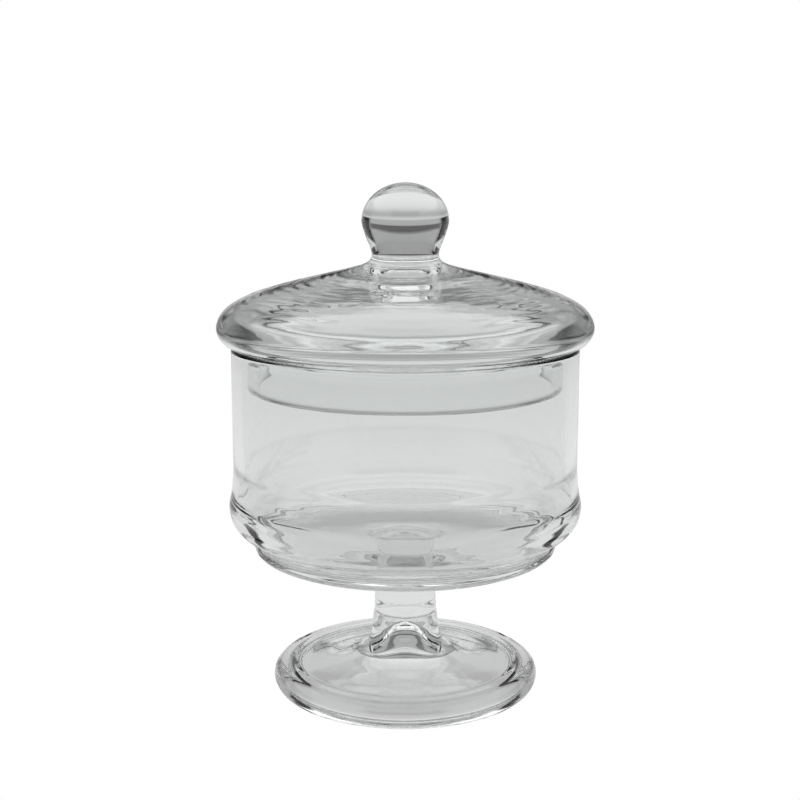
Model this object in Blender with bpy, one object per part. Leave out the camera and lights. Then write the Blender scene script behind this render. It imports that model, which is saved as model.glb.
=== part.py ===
"""Footed apothecary jar in clear glass, with a lift-off domed lid.

Every piece is turned about +Z.  The jar stands on z = 0.  Lengths are in millimetres
until a piece is built, and the built model is in metres.
Jar: foot, stem, bowl.  Lid: flange that hangs inside the mouth, dome, knob.
"""
import math

import bmesh
import bpy

MM = 0.001
SEGMENTS = 40

# Heights
FIT_GAP = 0.3            # clearance left between two pieces that touch
FOOT_TOP = 29.6          # foot's neck meets the stem
TRAY_UNDERSIDE = 53.5    # stem meets the bowl
FLOOR_TOP = 61.6         # inside floor of the bowl
RIM_TOP = 132.5          # fire-polished lip that the lid rests on
DOME_TOP = 161.0         # knob meets the dome
BOSS_BOTTOM = 148.2      # lowest point of the ring under the knob
KNOB_TOP = 191.2

# Radii and walls
FOOT_RADIUS = 50.3
NECK_RADIUS = 12.3
STEM_RADIUS = 11.6
COLLAR_RADIUS = 13.5
TRAY_RADIUS = 57.0
LEDGE_RADIUS = 66.1
BOWL_RADIUS = 64.3
BOWL_WALL = 3.8
LIP_ROUND = 1.0
LID_RADIUS = 69.5
FLANGE_RADIUS = 58.4
FLANGE_WALL = 3.4
FLANGE_DROP = 15.5       # how far the flange hangs below the lip
KNOB_RADIUS = 16.05
BOSS_RADIUS = 10.6

MOUTH_RADIUS = BOWL_RADIUS - BOWL_WALL
FLANGE_INNER = FLANGE_RADIUS - FLANGE_WALL


def arc(centre_r, centre_z, radius_r, radius_z, start_deg, end_deg, steps):
    """Points along an elliptical arc in the (r, z) plane, both ends included."""
    points = []
    for i in range(steps + 1):
        angle = math.radians(start_deg + (end_deg - start_deg) * i / steps)
        points.append((centre_r + radius_r * math.cos(angle), centre_z + radius_z * math.sin(angle)))
    return points


def flowing(stations, steps):
    """A smooth curve that passes through every station, both ends included."""
    ends = [stations[0]] + list(stations) + [stations[-1]]
    points = []
    for before, start, end, after in zip(ends, ends[1:], ends[2:], ends[3:]):
        for i in range(steps):
            t = i / steps
            point = []
            for a, b, c, d in zip(before, start, end, after):
                value = 2.0 * b + (c - a) * t
                value += (2.0 * a - 5.0 * b + 4.0 * c - d) * t ** 2
                value += (3.0 * b - a - 3.0 * c + d) * t ** 3
                point.append(value / 2.0)
            points.append(tuple(point))
    points.append(stations[-1])
    return points


def profile_mesh(name, outline, base, closed):
    """The outline as a chain of edges in the XZ plane, with its heights taken from base."""
    mesh = bpy.data.meshes.new(name)
    bm = bmesh.new()
    verts = [bm.verts.new((r * MM, 0.0, (z - base) * MM)) for r, z in outline]
    for first, second in zip(verts[:-1], verts[1:]):
        bm.edges.new((first, second))
    if closed:
        bm.edges.new((verts[-1], verts[0]))
    bm.to_mesh(mesh)
    bm.free()
    return mesh


def turned(name, outline, base, material, holder, closed=False):
    """Spin an outline that runs down its outer side into one closed body."""
    obj = bpy.data.objects.new(name, profile_mesh(name, outline, base, closed))
    bpy.context.collection.objects.link(obj)
    obj.parent = holder
    obj.location.z = base * MM - holder.location.z
    screw = obj.modifiers.new("turn", "SCREW")
    screw.axis = "Z"
    screw.angle = 2.0 * math.pi
    screw.steps = SEGMENTS
    screw.render_steps = SEGMENTS
    screw.use_merge_vertices = True
    screw.merge_threshold = 0.00001
    screw.use_smooth_shade = True
    obj.data.materials.append(material)
    return obj


def clear_glass(name, tint):
    material = bpy.data.materials.new(name)
    material.use_nodes = True
    shader = material.node_tree.nodes["Principled BSDF"]
    shader.inputs["Base Color"].default_value = (*tint, 1.0)
    shader.inputs["Metallic"].default_value = 0.0
    shader.inputs["Roughness"].default_value = 0.03
    shader.inputs["IOR"].default_value = 1.5
    shader.inputs["Transmission Weight"].default_value = 1.0
    return material


def foot(holder):
    """Flared disc with a thick rolled rim and a conical hollow under it."""
    neck = [(STEM_RADIUS, FOOT_TOP), (12.1, 28.0), (NECK_RADIUS, 25.0), (12.9, 20.4), (14.3, 16.6)]
    slope = [(16.9, 13.7), (21.0, 12.1), (28.0, 11.2), (36.0, 10.3), (40.0, 9.5)]
    rim = [(42.4, 10.0), (44.4, 9.3), (46.8, 9.4), (49.4, 7.6), (FOOT_RADIUS, 4.6), (49.3, 1.6)]
    rim += [(47.4, 0.0)]
    hollow = [(45.2, 0.0), (43.4, 2.2), (40.6, 5.2), (36.0, 6.4), (28.0, 7.8), (20.0, 9.6)]
    tip = [(14.0, 12.0), (9.8, 15.0), (7.2, 18.2), (5.4, 21.2), (3.2, 23.6)]
    outline = [(0.0, FOOT_TOP)] + flowing(neck + slope, 2) + flowing(rim, 2)
    outline += flowing(hollow + tip, 2) + [(0.0, 24.6)]
    return turned("foot", outline, 0.0, clear_glass("foot_glass", (0.93, 0.95, 0.94)), holder)


def stem(holder):
    """Solid round stem with a short collar at its top, where it was joined hot to the bowl."""
    low = FOOT_TOP + FIT_GAP
    high = TRAY_UNDERSIDE - FIT_GAP
    collar = [(COLLAR_RADIUS, high), (COLLAR_RADIUS, high - 2.6), (13.0, high - 3.5), (12.1, high - 3.9)]
    shaft = [(11.7, high - 5.8), (STEM_RADIUS, high - 11.2), (STEM_RADIUS, low)]
    outline = [(0.0, high)] + flowing(collar + shaft, 2) + [(0.0, low)]
    return turned("stem", outline, low, clear_glass("stem_glass", (0.94, 0.95, 0.95)), holder)


def bowl(holder):
    """Straight-sided bowl with a thick stepped base, a bulged ledge and a rounded lip."""
    floor = [(46.0, FLOOR_TOP), (54.0, 62.4), (58.6, 65.0), (61.2, 69.6), (62.0, 74.0)]
    floor += [(61.4, 80.0), (MOUTH_RADIUS, 88.0)]
    lip = arc(MOUTH_RADIUS + LIP_ROUND, RIM_TOP - LIP_ROUND, LIP_ROUND, LIP_ROUND, 180.0, 90.0, 3)
    lip += arc(BOWL_RADIUS - LIP_ROUND, RIM_TOP - LIP_ROUND, LIP_ROUND, LIP_ROUND, 90.0, 0.0, 3)
    ledge = flowing([(BOWL_RADIUS, 86.0), (65.1, 77.0), (LEDGE_RADIUS, 71.5), (64.6, 65.8), (57.8, 59.6)], 3)
    tray = [(TRAY_RADIUS, 58.0), (56.8, 55.6), (55.6, 54.2), (53.2, TRAY_UNDERSIDE)]
    outline = [(0.0, FLOOR_TOP)] + flowing(floor, 2) + lip + ledge + tray + [(0.0, TRAY_UNDERSIDE)]
    glass = clear_glass("bowl_glass", (0.94, 0.96, 0.95))
    return turned("bowl", outline, TRAY_UNDERSIDE, glass, holder)


def lid_flange(holder):
    """Short collar that hangs inside the mouth and keeps the lid centred."""
    half = FLANGE_WALL / 2.0
    bottom = RIM_TOP - FLANGE_DROP
    top = [(FLANGE_INNER, RIM_TOP), (FLANGE_RADIUS + 0.4, RIM_TOP), (FLANGE_RADIUS, RIM_TOP - 2.5)]
    edge = arc(FLANGE_RADIUS - half, bottom + half, half, half, 0.0, -180.0, 6)
    glass = clear_glass("lid_flange_glass", (0.93, 0.95, 0.95))
    return turned("lid_flange", top + edge, bottom, glass, holder, closed=True)


def lid_dome(holder):
    """Blown dome with a bulged rim turned in to the seat, and a ring of glass under the knob."""
    seat = RIM_TOP + FIT_GAP
    outer = [(16.0, DOME_TOP), (24.0, 158.8), (36.0, 155.8), (50.0, 152.1), (60.5, 148.5)]
    bulge = [(67.1, 144.3), (LID_RADIUS, 139.4), (68.8, 136.2), (66.6, 133.8), (63.4, seat)]
    turn_in = [(FLANGE_INNER, seat), (57.0, 133.5)]
    roll = [(63.7, 134.8), (66.2, 135.9), (67.3, 138.3), (66.1, 140.9), (63.2, 143.9)]
    ceiling = [(56.0, 147.8), (46.4, 151.3), (32.3, 154.9), (23.0, 157.6)]
    boss = [(17.0, 155.4), (15.0, 152.0), (12.6, 149.6), (BOSS_RADIUS, BOSS_BOTTOM), (8.8, 150.2)]
    outline = [(0.0, DOME_TOP)] + flowing(outer + bulge, 2) + turn_in + flowing(roll + ceiling, 2)
    outline += flowing(boss + [(4.0, 152.4)], 2) + [(0.0, 152.6)]
    return turned("lid_dome", outline, seat, clear_glass("lid_dome_glass", (0.94, 0.96, 0.95)), holder)


def lid_knob(holder):
    """Solid ball drawn down to a waist, flared where it was stuck to the dome."""
    base = DOME_TOP + FIT_GAP
    widest = 177.2
    ball = arc(0.0, widest, KNOB_RADIUS, KNOB_TOP - widest, 80.0, 0.0, 8)
    waist = flowing([(15.3, 174.2), (13.9, 170.4), (NECK_RADIUS, 165.4), (12.9, base + 1.5), (15.8, base)], 2)
    outline = [(0.0, KNOB_TOP)] + ball + waist + [(0.0, base)]
    return turned("lid_knob", outline, base, clear_glass("lid_knob_glass", (0.93, 0.95, 0.94)), holder)


def holder(name, height):
    """An empty on the jar's axis that carries one loose piece of the object."""
    empty = bpy.data.objects.new(name, None)
    empty.location.z = height * MM
    bpy.context.collection.objects.link(empty)
    return empty


def main():
    for obj in list(bpy.data.objects):
        bpy.data.objects.remove(obj, do_unlink=True)
    jar = holder("jar", 0.0)
    foot(jar)
    stem(jar)
    bowl(jar)
    lid = holder("lid", RIM_TOP)
    lid_flange(lid)
    lid_dome(lid)
    lid_knob(lid)


main()
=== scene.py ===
"""Clear glass apothecary jar: looks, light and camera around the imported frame."""

import math

import bpy
import bmesh
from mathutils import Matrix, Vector, noise

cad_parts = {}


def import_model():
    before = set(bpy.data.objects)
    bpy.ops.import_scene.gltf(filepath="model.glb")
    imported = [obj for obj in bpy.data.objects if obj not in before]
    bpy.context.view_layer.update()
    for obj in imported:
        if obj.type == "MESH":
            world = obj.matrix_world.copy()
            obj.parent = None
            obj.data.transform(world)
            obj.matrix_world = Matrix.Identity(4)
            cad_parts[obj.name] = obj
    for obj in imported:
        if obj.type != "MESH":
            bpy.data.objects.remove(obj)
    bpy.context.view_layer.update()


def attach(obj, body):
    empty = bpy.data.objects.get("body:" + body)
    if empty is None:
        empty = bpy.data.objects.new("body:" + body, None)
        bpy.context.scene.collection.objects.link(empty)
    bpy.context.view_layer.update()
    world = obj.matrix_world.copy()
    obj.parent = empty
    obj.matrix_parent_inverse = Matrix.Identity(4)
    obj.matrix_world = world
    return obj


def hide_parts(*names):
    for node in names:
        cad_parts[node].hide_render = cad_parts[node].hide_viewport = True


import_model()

MM = 0.001
SEGMENTS = 224           # facets round the axis
SPACING = 0.6            # mm between rings along a finished profile
FINE = 0.4               # mm between points while a profile is being smoothed

# Heights and radii of the glass, in mm
KNOB_TOP = 191.2
KNOB_WIDEST = 177.2
DOME_TOP = 161.0
RIM_TOP = 132.5
FLANGE_BOTTOM = 117.0
FLOOR_TOP = 61.6
TRAY_UNDERSIDE = 53.5
FOOT_TOP = 29.6
KNOB_RADIUS = 16.05
WAIST_FLARE = 16.2
BOWL_RADIUS = 64.3
MOUTH_RADIUS = 60.5
LIP_ROUND = 1.0
FLANGE_RADIUS = 58.4
FLANGE_INNER = 55.0
FLANGE_ROUND = 0.7
STEM_RADIUS = 11.65

# Unevenness of the glass, in mm
OTHER_FACE = 40.0        # shifts the noise, so that the two faces of a wall differ
RIPPLE_PITCH = 3.9       # from one ripple of the dome to the next
RIPPLE = 0.004
SIDE_RIPPLE = 0.036
SWELL = 0.03
STREAK = 0.045
BASE_RINGS = 0.035
TRAY_RINGS = 0.03
FOOT_SWELL = 0.06

# Stage
GLASS_TINT = (0.935, 0.942, 0.939)
FLOOR_REACH = 4.0        # m
FLOOR_TINT = (1.0, 1.004, 1.002)
FOOT_SHADE = 0.047       # m, reach of the painted shadow under the foot
# Grey of the painted dark patch that stands in for dark cards beside the jar
PAINTED_CARD_LEVEL = 0.05
WHITE = (1.0, 1.0, 1.0, 1.0)
CAMERA_PLACE = (0.0, -0.574, 0.2274)
CAMERA_DIP = 11.5        # degrees below level
CAMERA_LENS = 70.65      # mm
CAMERA_SHIFT = -5.3 / 800.0


# ---------------------------------------------------------------- profiles

def arc(centre_r, centre_z, radius_r, radius_z, start_deg, end_deg, steps):
    """Points along an elliptical arc in the (r, z) plane, both ends included."""
    points = []
    for i in range(steps + 1):
        angle = math.radians(start_deg + (end_deg - start_deg) * i / steps)
        points.append((centre_r + radius_r * math.cos(angle), centre_z + radius_z * math.sin(angle)))
    return points


def span_point(points, knots, t):
    """One point of a centripetal Catmull-Rom span, by repeated interpolation."""
    level = list(points)
    for pairs in (((0, 1), (1, 2), (2, 3)), ((0, 2), (1, 3)), ((1, 2),)):
        following = []
        for i, (low, high) in enumerate(pairs):
            weight = (t - knots[low]) / (knots[high] - knots[low])
            following.append(tuple(a + (b - a) * weight for a, b in zip(level[i], level[i + 1])))
        level = following
    return level[0]


def flowing(stations, steps=8):
    """A smooth curve through every station, both ends included."""
    first = tuple(2.0 * a - b for a, b in zip(stations[0], stations[1]))
    last = tuple(2.0 * a - b for a, b in zip(stations[-1], stations[-2]))
    ends = [first] + list(stations) + [last]
    points = []
    for span in zip(ends, ends[1:], ends[2:], ends[3:]):
        knots = [0.0]
        for a, b in zip(span, span[1:]):
            knots.append(knots[-1] + max(math.dist(a, b), 1e-6) ** 0.5)
        for i in range(steps):
            points.append(span_point(span, knots, knots[1] + (knots[2] - knots[1]) * i / steps))
    points.append(stations[-1])
    return points


def resample(points, spacing):
    """Even spacing along the outline, so that every facet is about as long."""
    lengths = [0.0]
    for a, b in zip(points, points[1:]):
        lengths.append(lengths[-1] + math.dist(a, b))
    count = max(2, round(lengths[-1] / spacing))
    result = []
    j = 0
    for i in range(count + 1):
        target = lengths[-1] * i / count
        while j < len(points) - 2 and lengths[j + 1] < target:
            j += 1
        part = (target - lengths[j]) / max(lengths[j + 1] - lengths[j], 1e-9)
        result.append(tuple(a + (b - a) * part for a, b in zip(points[j], points[j + 1])))
    return result


def softened(points, rounds):
    """The outline at its final spacing, with every corner rounded off a little; the ends stay."""
    points = resample(points, FINE)
    for _ in range(rounds):
        middle = [tuple((a + 2.0 * b + c) / 4.0 for a, b, c in zip(*near))
                  for near in zip(points, points[1:], points[2:])]
        points = [points[0]] + middle + [points[-1]]
    return resample(points, SPACING)


def lid_outline():
    """Knob, dome, rolled rim, flange and back up the inside to the ring of glass under the knob."""
    knob = arc(0.0, KNOB_WIDEST, KNOB_RADIUS, KNOB_TOP - KNOB_WIDEST, 90.0, 0.0, 30)
    waist = [(KNOB_RADIUS, KNOB_WIDEST), (15.3, 174.0), (13.9, 170.2), (12.4, 166.2), (12.3, 164.4),
             (13.4, 162.6), (WAIST_FLARE, DOME_TOP)]
    dome = [(WAIST_FLARE, DOME_TOP), (24.0, 158.8), (36.0, 155.8), (50.0, 152.1), (60.5, 148.5)]
    rim = [(67.1, 144.3), (69.5, 139.4), (68.8, 136.2), (66.6, 133.8), (63.4, 132.85)]
    turn_down = [(60.8, RIM_TOP), (58.8, 131.0), (FLANGE_RADIUS, 127.5)]
    low = FLANGE_BOTTOM + FLANGE_ROUND
    edge = arc(FLANGE_RADIUS - FLANGE_ROUND, low, FLANGE_ROUND, FLANGE_ROUND, 0.0, -90.0, 8)
    edge += arc(FLANGE_INNER + FLANGE_ROUND, low, FLANGE_ROUND, FLANGE_ROUND, -90.0, -180.0, 8)
    turn_out = [(FLANGE_INNER, 127.5), (55.9, 131.9), (57.8, 133.9)]
    roll = [(63.7, 134.8), (66.2, 135.9), (67.3, 138.3), (66.1, 140.9), (63.2, 143.9)]
    ceiling = [(56.0, 147.8), (46.4, 151.3), (32.3, 154.9), (23.0, 157.6)]
    boss = [(17.0, 155.4), (15.0, 151.9), (13.4, 151.9), (12.2, 149.2), (10.6, 148.2), (8.8, 150.2),
            (4.0, 152.4), (0.0, 152.6)]
    outer = flowing(waist)[1:] + flowing(dome + rim + turn_down)[1:]
    inner = flowing(turn_out + roll + ceiling + boss)
    return softened(knob + outer + edge + inner, 4)


def jar_outline():
    """Bowl floor, inner wall, lip, outer wall, stepped base, stem, foot and the hollow under it."""
    floor = [(0.0, FLOOR_TOP), (30.0, FLOOR_TOP), (46.0, FLOOR_TOP), (54.0, 62.4), (58.6, 65.0),
             (61.2, 69.6), (62.0, 74.0), (61.4, 80.0), (MOUTH_RADIUS, 88.0)]
    lip = arc(MOUTH_RADIUS + LIP_ROUND, RIM_TOP - LIP_ROUND, LIP_ROUND, LIP_ROUND, 180.0, 90.0, 8)
    lip += arc(BOWL_RADIUS - LIP_ROUND, RIM_TOP - LIP_ROUND, LIP_ROUND, LIP_ROUND, 90.0, 0.0, 8)
    ledge = [(BOWL_RADIUS, 86.0), (65.1, 77.0), (66.1, 71.5), (64.6, 65.8), (57.8, 59.6)]
    tray = [(57.0, 58.0), (56.8, 55.6), (55.6, 54.2)]
    tray += [(radius, TRAY_UNDERSIDE) for radius in (53.2, 40.0, 20.0)]
    collar = [(15.5, 53.4), (14.2, 52.9), (13.6, 51.8), (13.5, 50.6), (13.1, 49.8), (12.1, 49.3)]
    shaft = [(11.7, 47.5), (11.6, 42.0), (11.5, 36.0), (11.75, 31.6), (STEM_RADIUS, FOOT_TOP)]
    neck = [(STEM_RADIUS, FOOT_TOP), (12.1, 28.0), (12.3, 26.0), (12.4, 23.4), (12.9, 20.4), (14.3, 16.6)]
    slope = [(16.9, 13.7), (21.0, 12.1), (28.0, 11.2), (36.0, 10.3), (39.8, 9.5)]
    foot_rim = [(40.4, 9.5), (42.4, 10.0), (44.4, 9.3), (46.8, 9.4), (49.4, 7.6), (50.3, 4.6),
                (49.3, 1.6), (47.4, 0.0)]
    hollow = [(45.2, 0.0), (43.4, 2.2), (40.6, 5.2), (36.0, 6.4), (28.0, 7.8), (20.0, 9.6)]
    tip = [(14.0, 12.0), (9.8, 15.0), (7.2, 18.2), (5.4, 21.2), (3.2, 23.6), (0.0, 24.6)]
    bowl = flowing(floor) + lip + flowing(ledge) + tray
    foot = flowing(neck + slope)[1:] + flowing(foot_rim) + flowing(hollow + tip)
    return softened(bowl + flowing(collar + shaft) + foot, 3)


# ---------------------------------------------------------------- unevenness of hand-made glass

def fade(value, start, end):
    """0 before start and 1 after end, with an even slope between; start may be the larger."""
    return min(max((value - start) / (end - start), 0.0), 1.0)


def lid_wave(radius, height, angle, normal):
    """Ripples round the blown dome, broken up and different on its two faces."""
    face = OTHER_FACE if normal[1] > 0.0 else 0.0
    dome = fade(radius, 17.0, 26.0) * fade(radius, 66.0, 58.0) * fade(height, 140.0, 146.0)
    if dome == 0.0:
        return 0.0
    place = Vector((radius * math.cos(angle), radius * math.sin(angle), face))
    drift = noise.noise(place * 0.045)
    broken = 0.35 + 1.3 * abs(noise.noise(place * 0.09 + Vector((9.0, 0.0, 3.0))))
    ripple = math.sin(2.0 * math.pi * radius / RIPPLE_PITCH + 7.0 * drift + face)
    side = fade(abs(math.cos(angle)), 0.25, 0.75)
    return dome * ((RIPPLE + SIDE_RIPPLE * side) * broken * ripple + SWELL * noise.noise(place * 0.11))


def jar_wave(radius, height, angle, normal):
    """Upright streaks in the wall, tool rings round the base, and a slightly uneven foot."""
    face = OTHER_FACE if normal[0] > 0.0 else 0.0
    round_place = Vector((math.cos(angle), math.sin(angle), 0.0))
    if height > FLOOR_TOP - 0.6:
        streak = noise.noise(round_place * 7.0 + Vector((face, 0.0, height * 0.018)))
        rings = noise.noise(round_place * 1.5 + Vector((face, 0.0, height * 0.55)))
        wall = fade(radius, 50.0, 60.0) * fade(height, 131.0, 124.0)
        base = fade(height, 96.0, 78.0) * fade(radius, 30.0, 44.0)
        return STREAK * wall * streak + BASE_RINGS * base * rings
    if height > TRAY_UNDERSIDE - 3.5:
        rings = noise.noise(round_place * 1.5 + Vector((face, 0.0, height * 0.7)))
        return TRAY_RINGS * fade(radius, 20.0, 40.0) * rings
    place = Vector((radius * math.cos(angle), radius * math.sin(angle), height + face))
    return FOOT_SWELL * fade(radius, 14.0, 22.0) * fade(height, 0.0, 1.0) * noise.noise(place * 0.09)


# ---------------------------------------------------------------- turned glass

def ring_of(bm, outline, index, wave):
    """The vertices of one ring of a turned body, or the single one on its axis."""
    radius, height = outline[index]
    if radius < 1e-4:
        return [bm.verts.new((0.0, 0.0, height * MM))]
    ahead = outline[min(index + 1, len(outline) - 1)]
    behind = outline[max(index - 1, 0)]
    run, rise = ahead[0] - behind[0], ahead[1] - behind[1]
    length = math.hypot(run, rise)
    normal = (-rise / length, run / length)
    ring = []
    for i in range(SEGMENTS):
        angle = 2.0 * math.pi * i / SEGMENTS
        shift = wave(radius, height, angle, normal)
        r = radius + normal[0] * shift
        z = height + normal[1] * shift
        ring.append(bm.verts.new((r * MM * math.cos(angle), r * MM * math.sin(angle), z * MM)))
    return ring


def turned(name, outline, body, wave):
    """Spins an (r, z) outline in mm about +Z; wave gives each point's hand-made unevenness."""
    mesh = bpy.data.meshes.new(name)
    bm = bmesh.new()
    rings = [ring_of(bm, outline, index, wave) for index in range(len(outline))]
    for upper, lower in zip(rings, rings[1:]):
        for i in range(SEGMENTS):
            j = (i + 1) % SEGMENTS
            corners = [ring[k % len(ring)] for ring, k in ((upper, i), (lower, i), (lower, j), (upper, j))]
            bm.faces.new(list(dict.fromkeys(corners)))
    bmesh.ops.recalc_face_normals(bm, faces=bm.faces)
    for face in bm.faces:
        face.smooth = True
    bm.to_mesh(mesh)
    bm.free()
    obj = bpy.data.objects.new(name, mesh)
    bpy.context.collection.objects.link(obj)
    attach(obj, body)
    return obj


# ---------------------------------------------------------------- nodes

def map_range(nodes, links, value, low, high, start, end):
    """The value carried from low..high to start..end, and held at the ends."""
    node = nodes.new("ShaderNodeMapRange")
    links.new(value, node.inputs["Value"])
    for socket, amount in zip(("From Min", "From Max", "To Min", "To Max"), (low, high, start, end)):
        node.inputs[socket].default_value = amount
    return node.outputs["Result"]


def blend(nodes, links, factor, a, b):
    """Colour a where factor is 0 and b where it is 1; either may be a link or a plain colour."""
    node = nodes.new("ShaderNodeMix")
    node.data_type = "RGBA"
    for socket, value in (("Factor", factor), ("A", a), ("B", b)):
        if isinstance(value, tuple):
            node.inputs[socket].default_value = value
        else:
            links.new(value, node.inputs[socket])
    return node.outputs["Result"]


def maths(nodes, links, operation, a, b=None):
    """One sum, whose terms may be links or plain numbers."""
    node = nodes.new("ShaderNodeMath")
    node.operation = operation
    for socket, value in zip(node.inputs, (a, b)):
        if value is None:
            continue
        if isinstance(value, (int, float)):
            socket.default_value = value
        else:
            links.new(value, socket)
    return node.outputs[0]


def ramp(nodes, links, value, stops, tint=(1.0, 1.0, 1.0)):
    """Grey levels at stated places, with even slopes between them."""
    node = nodes.new("ShaderNodeValToRGB")
    elements = node.color_ramp.elements
    while len(elements) < len(stops):
        elements.new(0.5)
    for element, (place, level) in zip(elements, stops):
        element.position = place
        element.color = (*(level * part for part in tint), 1.0)
    links.new(value, node.inputs["Fac"])
    return node.outputs["Color"]


def bearing_of(nodes, links, split):
    """0 straight behind the object, 0.5 at either side, 1 in front of it."""
    across = maths(nodes, links, "ABSOLUTE", split.outputs["X"])
    turn = maths(nodes, links, "ARCTAN2", across, split.outputs["Y"])
    return maths(nodes, links, "DIVIDE", turn, math.pi)


def painted_card_patch(nodes, links, distance, split, reach, spread):
    """1 on the painted dark patch beside the object, a stand-in for dark cards seen in the glass, 0 off it,
    with soft edges.
    """
    product = 1.0
    for value, (start, full, stop, end) in ((distance, reach), (bearing_of(nodes, links, split), spread)):
        rising = map_range(nodes, links, value, start, full, 0.0, 1.0)
        falling = map_range(nodes, links, value, stop, end, 1.0, 0.0)
        product = maths(nodes, links, "MULTIPLY", product, maths(nodes, links, "MULTIPLY", rising, falling))
    return product


def two_looks(nodes, links, kind, lit, socket):
    """White to the camera's own rays, and the lit colour to the glass and everything else."""
    other = nodes.new(kind)
    links.new(lit, other.inputs["Color"])
    seen = nodes.new(kind)
    seen.inputs["Color"].default_value = WHITE
    path = nodes.new("ShaderNodeLightPath")
    mix = nodes.new("ShaderNodeMixShader")
    links.new(path.outputs["Is Camera Ray"], mix.inputs["Fac"])
    links.new(other.outputs[0], mix.inputs[1])
    links.new(seen.outputs[0], mix.inputs[2])
    links.new(mix.outputs[0], socket)


# ---------------------------------------------------------------- glass

def glass(name, seed):
    """Clear glass: handling marks vary its gloss, and its surface is very slightly orange-peeled."""
    material = bpy.data.materials.new(name)
    material.use_nodes = True
    nodes, links = material.node_tree.nodes, material.node_tree.links
    shader = nodes["Principled BSDF"]
    shader.inputs["Base Color"].default_value = (*GLASS_TINT, 1.0)
    shader.inputs["IOR"].default_value = 1.5
    shader.inputs["Transmission Weight"].default_value = 1.0
    place = nodes.new("ShaderNodeTexCoord").outputs["Object"]

    def cloud(scale, detail):
        node = nodes.new("ShaderNodeTexNoise")
        node.noise_dimensions = "4D"
        node.inputs["W"].default_value = seed
        node.inputs["Scale"].default_value = scale
        node.inputs["Detail"].default_value = detail
        links.new(place, node.inputs["Vector"])
        return node.outputs["Fac"]

    marks = map_range(nodes, links, cloud(45.0, 4.0), 0.45, 0.75, 0.0, 0.035)
    links.new(marks, shader.inputs["Roughness"])
    bump = nodes.new("ShaderNodeBump")
    bump.inputs["Strength"].default_value = 0.04
    bump.inputs["Distance"].default_value = 0.0002
    links.new(cloud(160.0, 2.0), bump.inputs["Height"])
    links.new(bump.outputs["Normal"], shader.inputs["Normal"])
    return material


# One continuous skin each: fused glass has no surface inside it
lid = turned("lid_glass", lid_outline(), "lid", lid_wave)
lid.data.materials.append(glass("lid_clear_glass", 1.0))
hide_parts("lid_knob", "lid_dome", "lid_flange")

jar = turned("jar_glass", jar_outline(), "jar", jar_wave)
jar.data.materials.append(glass("jar_clear_glass", 5.0))
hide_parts("bowl", "stem", "foot")


# ---------------------------------------------------------------- stage

def floor_material():
    """A glowing floor, lit by no lamp. To the camera it is plain white; to all other rays it is painted
    light, pale near the jar and falling off towards the wall, with a painted shadow under the foot and a
    painted dark patch standing in for dark cards.
    """
    material = bpy.data.materials.new("pale_floor")
    material.use_nodes = True
    nodes, links = material.node_tree.nodes, material.node_tree.links
    nodes.clear()
    coord = nodes.new("ShaderNodeTexCoord")
    split = nodes.new("ShaderNodeSeparateXYZ")
    links.new(coord.outputs["Object"], split.inputs[0])
    length = nodes.new("ShaderNodeVectorMath")
    length.operation = "LENGTH"
    links.new(coord.outputs["Object"], length.inputs[0])
    distance = length.outputs["Value"]
    # Painted light: the floor's glow is pale near the jar and falls off towards the wall, the way studio
    # light would fall on it.
    stops = ((0.0, 0.85), (0.10, 0.87), (0.17, 0.80), (0.26, 0.60), (0.36, 0.54), (0.55, 0.70))
    far = ramp(nodes, links, maths(nodes, links, "DIVIDE", distance, FLOOR_REACH), stops, FLOOR_TINT)
    # Painted shadow under the foot: the floor's glow is darker there, most on the side towards the camera.
    shade = map_range(nodes, links, split.outputs["Y"], -FOOT_SHADE, FOOT_SHADE, 0.58, 0.90)
    clear = map_range(nodes, links, distance, 0.046, 0.058, 0.0, 1.0)
    near = blend(nodes, links, clear, shade, far)
    # Painted dark patch on the floor's glow, standing in for dark cards; only the glass shows it.
    dark = painted_card_patch(nodes, links, distance, split, (0.14, 0.145, 0.16, 0.165), (0.10, 0.12, 0.47, 0.50))
    lit = blend(nodes, links, dark, near, (PAINTED_CARD_LEVEL, PAINTED_CARD_LEVEL, PAINTED_CARD_LEVEL, 1.0))
    out = nodes.new("ShaderNodeOutputMaterial")
    # Plain white to the camera; the painted light, painted shadow and painted dark patch reach only the glass
    # and other rays.
    two_looks(nodes, links, "ShaderNodeEmission", lit, out.inputs["Surface"])
    return material


def floor():
    """A wide round floor, half a millimetre below the foot."""
    bpy.ops.mesh.primitive_circle_add(vertices=96, radius=FLOOR_REACH, fill_type="NGON")
    plane = bpy.context.object
    plane.name = "floor"
    plane.location.z = -0.5 * MM
    plane.data.materials.append(floor_material())


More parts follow.
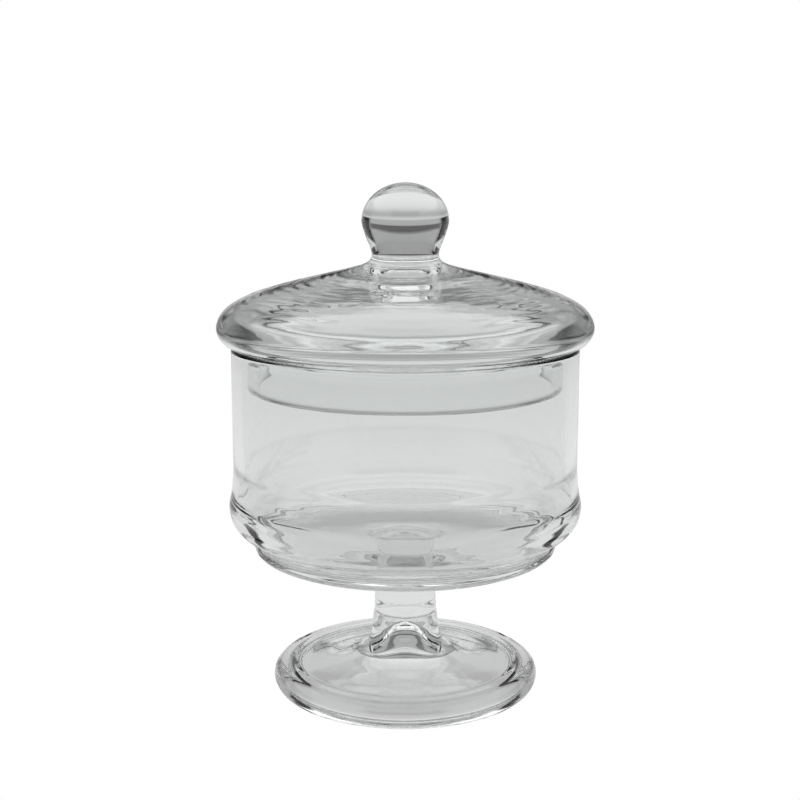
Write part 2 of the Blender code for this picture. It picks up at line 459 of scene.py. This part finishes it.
def world():
    """Grey room with dark upright gaps between its panels and a soft light overhead."""
    surround = bpy.data.worlds.new("surround")
    bpy.context.scene.world = surround
    surround.use_nodes = True
    nodes, links = surround.node_tree.nodes, surround.node_tree.links
    nodes.clear()
    coord = nodes.new("ShaderNodeTexCoord")
    split = nodes.new("ShaderNodeSeparateXYZ")
    links.new(coord.outputs["Generated"], split.inputs[0])
    bearing = bearing_of(nodes, links, split)
    slope = maths(nodes, links, "ARCSINE", split.outputs["Z"])
    height = maths(nodes, links, "DIVIDE", slope, math.pi / 2.0)
    rear = ramp(nodes, links, height, ((0.0, 0.54), (0.038, 0.54), (0.05, 0.18), (0.095, 0.18), (0.125, 0.50),
                                       (0.30, 0.50), (0.33, 0.01), (0.43, 0.01), (0.47, 1.2)))
    panels = ramp(nodes, links, bearing, ((0.24, 0.30), (0.25, 0.0), (0.41, 0.0), (0.43, 0.45), (0.58, 0.80),
                                          (1.0, 0.90)))
    softbox = ramp(nodes, links, bearing, ((0.0, 1.2), (1.0, 1.3)))
    sides = blend(nodes, links, ramp(nodes, links, height, ((0.27, 0.0), (0.36, 1.0))), panels, softbox)
    front = ramp(nodes, links, height, ((0.0, 0.90), (0.20, 0.90), (0.23, 0.02), (0.42, 0.02), (0.46, 1.3)))
    room = blend(nodes, links, ramp(nodes, links, bearing, ((0.21, 0.0), (0.24, 1.0))), rear, sides)
    room = blend(nodes, links, ramp(nodes, links, bearing, ((0.74, 0.0), (0.80, 1.0))), room, front)
    out = nodes.new("ShaderNodeOutputWorld")
    two_looks(nodes, links, "ShaderNodeBackground", room, out.inputs["Surface"])


def camera():
    """In front of the jar and above it, looking down at its middle."""
    data = bpy.data.cameras.new("camera")
    data.lens = CAMERA_LENS
    data.sensor_width = 36.0
    data.shift_x = CAMERA_SHIFT
    data.clip_start = 0.01
    obj = bpy.data.objects.new("camera", data)
    obj.location = CAMERA_PLACE
    obj.rotation_euler = (math.radians(90.0 - CAMERA_DIP), 0.0, 0.0)
    bpy.context.collection.objects.link(obj)
    bpy.context.scene.camera = obj


floor()
world()
camera()

scene = bpy.context.scene
scene.view_settings.view_transform = "Standard"
scene.view_settings.gamma = 0.7
scene.cycles.max_bounces = 32
scene.cycles.transmission_bounces = 32
scene.cycles.glossy_bounces = 16
scene.cycles.caustics_reflective = True
scene.cycles.caustics_refractive = True
